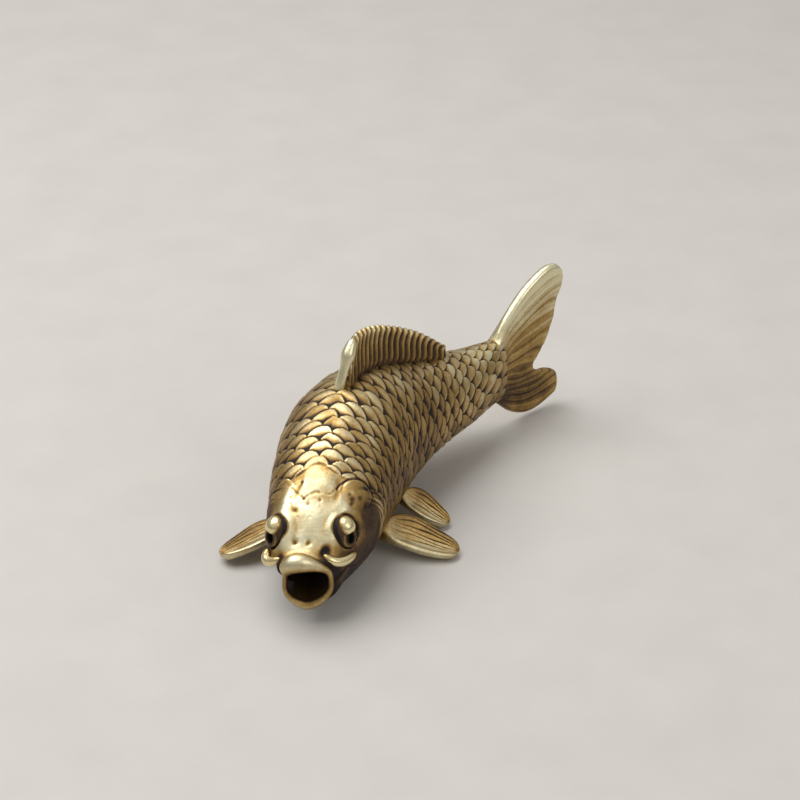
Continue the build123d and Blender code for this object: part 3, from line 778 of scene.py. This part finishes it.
@dataclass(frozen=True)
class Eye(Piece):
    """Bead with an upper bulge and a drilled pupil below it; the bulge is painted pale as a highlight and
    the rest is painted dark as shade.
    """

    hand: Hand = Hand.LEFT
    seat: EyeSeat = EyeSeat()
    half_width: float = 1.72
    half_height: float = 2.05
    height: float = 0.8
    sink: float = 0.3
    bulge: float = 0.62
    bulge_offset: float = 0.72
    bulge_radius: float = 1.12
    pupil_radius: float = 0.7
    pupil_depth: float = 0.9
    pupil_below: float = 0.75
    pupil_ahead: float = 0.15

    @property
    def node(self) -> str:
        """Name of the node that the piece stands for."""
        return f"eye_{self.hand.name.lower()}"

    def build(self) -> Mould:
        """Shape the bead as rings round its axis, closed inside the head."""
        middle, axis = self.seat.place(self.form, self.hand)
        ahead = unit(np.cross(axis, UP)) * self.hand.value
        over = np.cross(ahead, axis) * self.hand.value
        reach, turn = np.meshgrid(np.sin(np.linspace(0.004, math.pi / 2, 46)),
                                  np.linspace(0, 2 * math.pi, 96, endpoint=False), indexing="ij")
        flat = np.stack([np.cos(turn) * self.half_width, np.sin(turn) * self.half_height], axis=-1)
        flat = flat * reach[..., None]
        pupil = np.hypot(flat[..., 0] - self.pupil_ahead, flat[..., 1] + self.pupil_below)
        above = np.hypot(flat[..., 0] + self.pupil_ahead, flat[..., 1] - self.bulge_offset)
        drilled = smooth(self.pupil_radius, self.pupil_radius * 0.72, pupil)
        dome = self.height * np.sqrt(1 - np.minimum(reach, 1) ** 2)
        high = dome + self.bulge * np.sqrt(np.clip(1 - (above / self.bulge_radius) ** 2, 0, 1))
        high = high * smooth(1.0, 0.88, reach) - self.pupil_depth * drilled - self.sink
        rings = flat[..., :1] * ahead + flat[..., 1:] * over + high[..., None] * axis
        skirt = rings[-1:] - axis * 1.6
        rings = middle + np.concatenate([rings, skirt])
        under = smooth(0.35, -0.35, flat[..., 1])
        # Painted light on the bead: the upper bulge stays pale as a painted highlight and the rest of the
        # bead is painted dark as shade; the pupil hole and the rim that meets the socket keep dark patina.
        seat = smooth(self.bulge_radius - 0.15, self.bulge_radius + 0.1, above)
        tone = 0.12 + 0.66 * seat + 0.8 * drilled + 0.4 * smooth(0.85, 1.0, reach)
        # Painted highlights: a pale ring under the pupil and a pale arc on the lower rear rim.
        tone = tone - 0.2 * bump(pupil, self.pupil_radius + 0.35, 0.16) * under
        tone = tone - 0.25 * bump(reach, 0.84, 0.08) * under * smooth(0.3, -0.6, flat[..., 0])
        mould = Mould()
        mould.add(rings, np.concatenate([tone, np.ones_like(tone[:1])]))
        return mould


@dataclass(frozen=True)
class Barbel(Piece):
    """Curled feeler along the cheek, thick in the middle."""

    hand: Hand = Hand.LEFT
    radius: float = 0.62
    end_share: float = 0.5
    proud: float = 0.16
    places: tuple = ((0.73, 60.0), (0.82, 27.0), (1.60, 8.0))

    @property
    def node(self) -> str:
        """Name of the node that the piece stands for."""
        return f"barbel_{self.hand.name.lower()}"

    def build(self) -> Mould:
        """Sweep the feeler through its three places on the skin."""
        left = self.hand is Hand.LEFT
        spots = np.array([self.form.skin(at, turn if left else 180 - turn, self.proud)
                          for at, turn in self.places])
        t = np.linspace(0, 1, 44)[:, None]
        path = spots[0] * (1 - t) * (1 - 2 * t) + spots[1] * 4 * t * (1 - t) + spots[2] * t * (2 * t - 1)
        t = t[:, 0]
        ends = np.sqrt(np.clip(1 - (2 * t - 1) ** 8, 0.004, 1))
        radii = self.radius * ends * (self.end_share + (1 - self.end_share) * np.sin(math.pi * t) ** 0.7)
        facing = self.form.outward(1.0, 20.0 if left else 160.0)
        mould = Mould()
        mould.tube(path, radii, 0.15 + 0.35 * (2 * t - 1) ** 4, facing)
        return mould


@dataclass(frozen=True)
class Sail(Piece):
    """Fin on the midline, with rounded rays and dark grooves between them."""

    over: int = 1
    first: float = 5.05
    last: float = 7.8
    height: float = 5.7
    shares: tuple = (0.32, 0.95, 1.00, 0.96, 0.90, 0.83, 0.71, 0.51, 0.29)
    foot_thickness: float = 1.2
    edge_thickness: float = 0.75
    foot_depth: float = 0.8
    rays: int = 20
    lean: float = 0.10
    relief: float = 0.26
    rows: int = 260

    def rise(self, share: Array) -> Array:
        """Height of the fin's edge over the skin."""
        rows = np.array(self.shares)[:, None]
        return self.height * through(rows, np.asarray(share) * (len(rows) - 1))[..., 0]

    def point(self, share: Array, rise: Array) -> Array:
        """Points in the fin's middle plane, at heights over the skin."""
        station = self.first + (self.last - self.first) * np.asarray(share, float)
        reach = self.form.reaches(station)[1 if self.over > 0 else 2]
        return self.form.spine(station) + UP * (self.over * (reach + rise))[..., None]

    def build(self) -> Mould:
        """Shape the web as rings that run up one face and down the other."""
        share, climb = np.meshgrid(np.linspace(0, 1, self.rows), np.linspace(0, 1, 40), indexing="ij")
        foot = share - self.lean * (climb + 0.16 * np.sin(2 * math.pi * climb))
        ridge = (0.5 + 0.5 * np.cos(2 * math.pi * foot * self.rays)) ** 1.3
        edge = self.rise(share) * (0.96 + 0.05 * ridge)
        rise = -self.foot_depth + (edge + self.foot_depth) * climb
        thick = self.foot_thickness + (self.edge_thickness - self.foot_thickness) * climb
        swell = smooth(0.08, 0.3, climb) * self.relief
        half = (thick / 2 - self.relief * 0.5 + swell * ridge)
        half = half * np.sqrt(np.clip(1 - smooth(0.9, 1.0, climb) ** 2, 0.02, 1))
        half = half * np.sqrt(np.clip(1 - smooth(0.965, 1.0, share) ** 2, 0.02, 1))
        middle = self.point(share, rise)
        side = self.form.axes(self.first + (self.last - self.first) * share)[1]
        faces = [middle + side * half[..., None], middle - side * half[..., None]]
        rubbed = (0.22 + 0.28 * climb) * ridge * smooth(0.05, 0.3, climb)
        tone = 0.80 - rubbed - 0.2 * smooth(0.8, 1.0, climb)
        mould = Mould()
        mould.add(np.concatenate([faces[0], faces[1][:, ::-1]], axis=1),
                  np.concatenate([tone, tone[:, ::-1]], axis=1))
        return mould


@dataclass(frozen=True)
class DorsalFin(Sail):
    """Long back fin with a thick polished front spine."""

    spine_radius: float = 0.66
    spine_lean: float = 0.14
    spine_reach: float = 0.97
    spine_tilt: float = 0.8
    knob: float = 0.26

    @property
    def node(self) -> str:
        """Name of the node that the piece stands for."""
        return "dorsal_fin"

    def build(self) -> Mould:
        """Shape the web and add its front spine."""
        mould = super().build()
        t = np.linspace(0, 1, 60)
        share = self.spine_lean * t**2 - 0.02
        rise = -self.foot_depth + (self.height * self.spine_reach + self.foot_depth) * t
        side = self.form.axes(self.first)[1]
        path = self.point(share, rise) - side * (self.spine_tilt * (1 - t) ** 1.5)[:, None]
        radii = self.spine_radius * (1.05 - 0.2 * smooth(0.0, 0.5, t)) + self.knob * bump(t, 0.72, 0.14)
        radii = radii * np.sqrt(np.clip(1 - smooth(0.86, 1.0, t) ** 2, 0.01, 1))
        mould.tube(path, radii, 0.08 + 0.5 * smooth(0.2, 0.0, t), side)
        return mould


@dataclass(frozen=True)
class AnalFin(Sail):
    """Small fin under the tail root."""

    over: int = -1
    first: float = 7.2
    last: float = 8.7
    height: float = 2.4
    shares: tuple = (0.45, 1.0, 0.85, 0.55, 0.25)
    foot_thickness: float = 1.0
    edge_thickness: float = 0.6
    rays: int = 8
    lean: float = 0.12
    relief: float = 0.2
    rows: int = 110

    @property
    def node(self) -> str:
        """Name of the node that the piece stands for."""
        return "anal_fin"


@dataclass(frozen=True)
class TailFin(Piece):
    """Forked fan with thick rounded leading edges and rays that spread from the tail root."""

    length: float = 10.0
    height: float = 20.0
    thickness: float = 1.15
    relief: float = 0.14
    rays: int = 14
    root_swell: float = 0.95
    inset: float = 1.0
    root: tuple = ((0.0, 0.20), (0.0, -0.225))
    upper: tuple = ((0.0, 0.20), (0.12, 0.335), (0.38, 0.475), (0.72, 0.565), (0.93, 0.56))
    lower: tuple = ((0.0, -0.225), (0.20, -0.345), (0.43, -0.405), (0.67, -0.40), (0.95, -0.345))
    edge: tuple = ((0.93, 0.56), (1.04, 0.50), (1.05, 0.42), (0.95, 0.31), (0.90, 0.19), (0.76, 0.04),
                   (0.57, -0.08), (0.66, -0.145), (0.84, -0.165), (0.98, -0.215), (1.01, -0.285),
                   (0.95, -0.345))

    @property
    def node(self) -> str:
        """Name of the node that the piece stands for."""
        return "tail_fin"

    def curve(self, shares: tuple, place: Array) -> Array:
        """Points at shares of a curve through a table."""
        rows = np.array(shares)
        return through(rows, np.asarray(place) * (len(rows) - 1))

    def build(self) -> Mould:
        """Shape the fan as rings that run out along one face and back along the other."""
        across, out = np.meshgrid(np.linspace(0, 1, 240), np.linspace(0, 1, 56), indexing="ij")
        starts, ends = self.curve(self.root, across), self.curve(self.edge, across)
        flat = starts + (ends - starts) * out[..., None]
        for shares, weight in ((self.upper, (1 - across) ** 3), (self.lower, across**3)):
            line = np.array(shares[0]) + (np.array(shares[-1]) - np.array(shares[0])) * out[..., None]
            flat = flat + (self.curve(shares, out) - line) * weight[..., None]
        ray = math.pi * (across + 0.006 * np.sin(9 * out + 31 * across)) * self.rays
        ridge = 0.62 * np.abs(np.cos(ray)) + 0.38 * np.abs(np.cos(2.37 * ray + 0.6))
        border = np.minimum(across, 1 - across)
        front = smooth(0.34, 0.06, across)
        lead = bump(border, 0.03, 0.05)
        raised = self.relief * ridge * smooth(0.12, 0.35, out) * (1 - lead) * (1 - 0.4 * front)
        half = self.thickness / 2 * (0.62 + 0.5 * lead) + raised
        oval = np.sqrt(np.clip(1 - (2 * across - 1) ** 2, 0, 1))
        half = half + self.root_swell * oval * smooth(0.34, 0.0, out) ** 1.5
        half = half * np.sqrt(np.clip(1 - smooth(0.93, 1.0, out) ** 2, 0.02, 1))
        half = half * np.sqrt(np.clip(1 - (1 - np.clip(border / 0.04, 0, 1)) ** 2, 0.01, 1))
        forward, side = self.form.axes(self.form.last)
        middle = self.form.spine(self.form.last) - forward * (flat[..., :1] * self.length)
        middle = middle + forward * (self.inset * (1 - out) ** 4)[..., None]
        middle = middle + UP * (flat[..., 1:] * self.height)
        faces = [middle + side * half[..., None], middle - side * half[..., None]]
        # Painted light on the fan: the front of the upper lobe is painted pale as a highlight and the fan
        # darkens towards the lower lobe as painted shade; the rays and the rounded leading edges are paler.
        tone = 0.60 - 0.30 * ridge * smooth(0.0, 0.3, out) - 0.14 * lead - 0.26 * front
        tone = tone - 0.12 * smooth(0.7, 1.0, out) + 0.22 * smooth(0.25, 0.65, across)
        mould = Mould()
        mould.add(np.concatenate([faces[0], faces[1][:, ::-1]], axis=1),
                  np.concatenate([tone, tone[:, ::-1]], axis=1))
        return mould


@dataclass(frozen=True)
class LeafFin(Piece):
    """Paired fin: a ribbed leaf on a short stalk, with a thick leading edge."""

    hand: Hand = Hand.LEFT
    kind: str = "pectoral"
    station: float = 4.25
    angle: float = -42.0
    sweep: float = 8.0
    pitch: float = 18.0
    length: float = 9.6
    width: float = 5.4
    thickness: float = 0.8
    tip_height: float = 0.9
    stalk_radius: float = 1.0
    ribs: int = 8
    border_share: float = 0.28
    relief: float = 0.16
    leading: tuple = ((0.0, -0.14), (0.22, -0.33), (0.58, -0.45), (0.90, -0.40), (1.0, -0.16))
    trailing: tuple = ((0.0, 0.14), (0.15, 0.46), (0.38, 0.53), (0.72, 0.29), (0.95, 0.05), (1.0, -0.16))

    @property
    def node(self) -> str:
        """Name of the node that the piece stands for."""
        return f"{self.kind}_fin_{self.hand.name.lower()}"

    def axes(self) -> tuple[Array, Array, Array, Array]:
        """Root, and directions out along the leaf, back across it and up from it."""
        sign = self.hand.value
        root = self.form.skin(self.station, self.angle if sign > 0 else 180 - self.angle)
        level = self.form.axes(self.station)[1] * sign
        turn = math.radians(sign * self.sweep)
        level = level * math.cos(turn) + np.cross(UP, level) * math.sin(turn)
        chord = np.cross(UP, level) * sign
        drop = math.asin((root[2] - self.tip_height) / self.length)
        out = level * math.cos(drop) - UP * math.sin(drop)
        raised = np.cross(out, chord) * sign
        tilt = math.radians(self.pitch)
        rear = chord * math.cos(tilt) + raised * math.sin(tilt)
        return root, out, rear, np.cross(out, rear) * sign

    def edge(self, shares: tuple, along: Array) -> Array:
        """Place of one edge across the leaf, at shares of its length."""
        curve = through(np.array(shares), np.linspace(0, len(shares) - 1, 200))
        return np.interp(along, curve[:, 0], curve[:, 1])

    def build(self) -> Mould:
        """Shape the leaf as rings across it, from inside the body to the tip."""
        root, out, rear, up = self.axes()
        t = np.linspace(0, 1, 90)
        along = -0.16 + 1.158 * (1 - (1 - t) ** 1.6)
        inside = np.clip(along, 0, 1)
        front, back = self.edge(self.leading, inside), self.edge(self.trailing, inside)
        turn = np.linspace(0, 2 * math.pi, 256, endpoint=False)
        place = -np.cos(turn)[None]
        lens = np.sign(np.sin(turn)) * np.abs(np.sin(turn)) ** 0.6
        leaf = smooth(0.04, 0.30, along)[:, None]
        tip = np.sqrt(np.clip(1 - smooth(0.86, 1.0, along) ** 2, 0.02, 1))[:, None]
        lead = bump(place, -0.9, 0.22)
        across = ((front + back) / 2 * self.width)[:, None]
        across = across + ((back - front) / 2 * self.width)[:, None] * place
        chord = place * 0.5 + 0.5
        border = smooth(self.border_share + 0.08, self.border_share - 0.08, chord)
        ray = math.pi * self.ribs * (chord + 0.02 * np.sin(9 * along[:, None] + 16 * chord))
        cut = smooth(0.6, 0.0, np.abs(np.cos(ray))) * (0.7 + 0.3 * np.sin(6 * along[:, None] + 2 * ray))
        ridge = 1 - cut * smooth(1.0, 0.8, along)[:, None]
        blade = self.thickness / 2 * (0.7 + 0.75 * lead) + self.relief * (ridge * (1 - border) + border)
        half = (self.stalk_radius * (1 - leaf) + blade * leaf) * tip
        dish = self.width * 0.07 * (place**2 - 0.4) * leaf
        lift = half * lens + dish
        rings = root + out * (along * self.length)[:, None, None]
        rings = rings + rear * across[..., None] + up * lift[..., None]
        rings[..., 2] = np.maximum(rings[..., 2], 0.05)
        grooves = 0.54 * (1 - ridge) * (1 - border)
        tone = 0.34 + leaf * (grooves - 0.1 * border + 0.2 * smooth(0.4, 0.9, chord))
        tone = tone + 0.25 * smooth(0.12, -0.02, along)[:, None]
        mould = Mould()
        mould.add(rings, tone)
        return mould


@dataclass(frozen=True)
class Studio:
    """Pale floor, soft lamps and a camera at the photograph's angle, in millimetres."""

    floor_colour: str = "D9D5CF"
    sky_colour: str = "F2F0EC"
    ambient: float = 0.36
    lens: float = 127.7
    distance: float = 330.0
    elevation: float = 33.0
    target: tuple = (-0.2, -3.0, 5.0)
    aim_right: float = 7.1
    aim_up: float = 13.0
    floor_reach: float = 1500.0
    floor_drop: float = 0.05
    lamps: tuple = (("key", (-120, 40, 340), 340, 1.1), ("fill", (260, -260, 240), 260, 0.25))

    def floor(self) -> None:
        """Lay a matt paper floor, which keeps the shadow and shows a faint mottle."""
        mesh = bpy.data.meshes.new("floor")
        reach, low = self.floor_reach * MM, -self.floor_drop * MM
        corners = ((-reach, -reach), (reach, -reach), (reach, reach), (-reach, reach))
        mesh.from_pydata([(x, y, low) for x, y in corners], [], [(0, 1, 2, 3)])
        made = bpy.data.objects.new("floor", mesh)
        bpy.context.scene.collection.objects.link(made)
        paper = bpy.data.materials.new("matt_paper_backdrop")
        paper.use_nodes = True
        tree = paper.node_tree
        tree.nodes.clear()
        place = node(tree, "ShaderNodeTexCoord").outputs["Object"]
        mottle = node(tree, "ShaderNodeTexNoise", {"Vector": place, "Scale": 1 / (9 * MM), "Detail": 6.0})
        colour = node(tree, "ShaderNodeValToRGB", {"Fac": mottle.outputs["Fac"]}, stops=(
            (0.3, linear("D4D0CA")), (0.7, linear(self.floor_colour))))
        shader = node(tree, "ShaderNodeBsdfPrincipled", {
            "Base Color": colour.outputs["Color"], "Roughness": 0.85})
        node(tree, "ShaderNodeOutputMaterial", {"Surface": shader.outputs["BSDF"]})
        mesh.materials.append(paper)

    def lamp(self, name: str, place: tuple, size: float, power: float) -> None:
        """Hang a square soft lamp that faces the fish.

        Args:
            name: Name of the lamp.
            place: Place in millimetres.
            size: Side in millimetres.
            power: Power in watts.
        """
        data = bpy.data.lights.new(name, "AREA")
        data.shape, data.size, data.energy = "SQUARE", size * MM, power
        made = bpy.data.objects.new(name, data)
        made.location = Vector(place) * MM
        made.rotation_euler = (Vector(self.target) - Vector(place)).to_track_quat("-Z", "Y").to_euler()
        bpy.context.scene.collection.objects.link(made)

    def sky(self) -> None:
        """Light the room evenly, and show the camera and the metal a pale backdrop."""
        world = bpy.data.worlds.new("studio")
        world.use_nodes = True
        tree = world.node_tree
        tree.nodes.clear()
        ray = node(tree, "ShaderNodeLightPath").outputs
        seen = node(tree, "ShaderNodeMath", {0: ray["Is Camera Ray"], 1: ray["Is Glossy Ray"]},
                    operation="MAXIMUM")
        seen = node(tree, "ShaderNodeMath", {0: seen.outputs[0], 1: ray["Is Transmission Ray"]},
                    operation="MAXIMUM")
        light = node(tree, "ShaderNodeBackground", {
            "Color": linear(self.sky_colour), "Strength": self.ambient})
        place = node(tree, "ShaderNodeTexCoord").outputs["Generated"]
        level = node(tree, "ShaderNodeSeparateXYZ", {0: place}).outputs["Z"]
        fade = node(tree, "ShaderNodeValToRGB", {"Fac": level}, stops=(
            (0.0, linear("8F8C88")), (0.75, linear(self.sky_colour))))
        shown = node(tree, "ShaderNodeBackground", {"Color": fade.outputs["Color"], "Strength": 0.8})
        mixed = node(tree, "ShaderNodeMixShader", {
            0: seen.outputs[0], 1: light.outputs["Background"], 2: shown.outputs["Background"]})
        node(tree, "ShaderNodeOutputWorld", {"Surface": mixed.outputs["Shader"]})
        bpy.context.scene.world = world

    def camera(self) -> None:
        """Set the camera at the photograph's angle and framing."""
        data = bpy.data.cameras.new("camera")
        data.sensor_width, data.lens = 36.0, self.lens
        data.clip_start, data.clip_end = 0.01, 10.0
        made = bpy.data.objects.new("camera", data)
        tilt = math.radians(self.elevation)
        back = Vector((0, -math.cos(tilt), math.sin(tilt)))
        over = Vector((0, math.sin(tilt), math.cos(tilt)))
        target = Vector(self.target)
        place = target + back * self.distance
        aim = target + Vector((1, 0, 0)) * self.aim_right + over * self.aim_up
        made.location = place * MM
        made.rotation_euler = (aim - place).to_track_quat("-Z", "Y").to_euler()
        bpy.context.scene.collection.objects.link(made)
        bpy.context.scene.camera = made

    def build(self) -> None:
        """Set up the whole studio."""
        bpy.context.scene.view_settings.view_transform = "Standard"
        self.floor()
        self.sky()
        for name, place, size, power in self.lamps:
            self.lamp(name, place, size, power)
        self.camera()


# Antique brass: the hollows keep a brown-black sulphide, the slopes are warm yellow, the tops rubbed pale.
ANTIQUE = CastBrass("antique_cast_brass_darkened_and_rubbed", Slot.ANTIQUE,
                    "241B17", "5C4733", "AB8C54", "E0D8B4", 0.32, 0.62)
# Rubbed brass: the small proud pieces are handled most, so they are paler and smoother.
RUBBED = CastBrass("rubbed_cast_brass_polished_by_hand", Slot.RUBBED,
                   "1E1714", "5A4633", "B8995C", "E9DAAA", 0.21, 0.58)


def pieces(form: BodyForm) -> list[Piece]:
    """List the pieces of the fish.

    Args:
        form: Plain form of the body that carries them.

    Returns:
        Pieces in the order in which they are made.
    """
    made: list[Piece] = [
        BodyCasting(form, ANTIQUE),
        DorsalFin(form, ANTIQUE),
        AnalFin(form, ANTIQUE),
        TailFin(form, ANTIQUE)]
    for hand in Hand:
        left = hand is Hand.LEFT
        made += [
            LeafFin(form, ANTIQUE, hand, station=4.25 if left else 4.1, sweep=8.0 if left else -26.0,
                    pitch=18.0 if left else -6.0, length=9.6 if left else 8.6),
            LeafFin(form, ANTIQUE, hand, kind="pelvic", station=5.7, angle=-48.0, sweep=12.0, pitch=15.0,
                    length=6.8, width=4.0, thickness=0.7, tip_height=0.8, stalk_radius=0.8, ribs=7),
            Eye(form, RUBBED, hand),
            Barbel(form, RUBBED, hand) if left else Barbel(
                form, RUBBED, hand, proud=-0.1, places=((0.78, 46.0), (1.22, 11.0), (1.5, 22.0)))]
    return made


def main() -> None:
    """Build the studio and the fish."""
    logging.basicConfig(level=logging.INFO, format="%(message)s")
    Studio().build()
    for piece in pieces(BodyForm()):
        made = piece.dress(piece.build())
        LOG.info("%s: %d faces in %s", made.name, len(made.data.polygons), piece.finish.name)


if __name__ == "__main__":
    main()
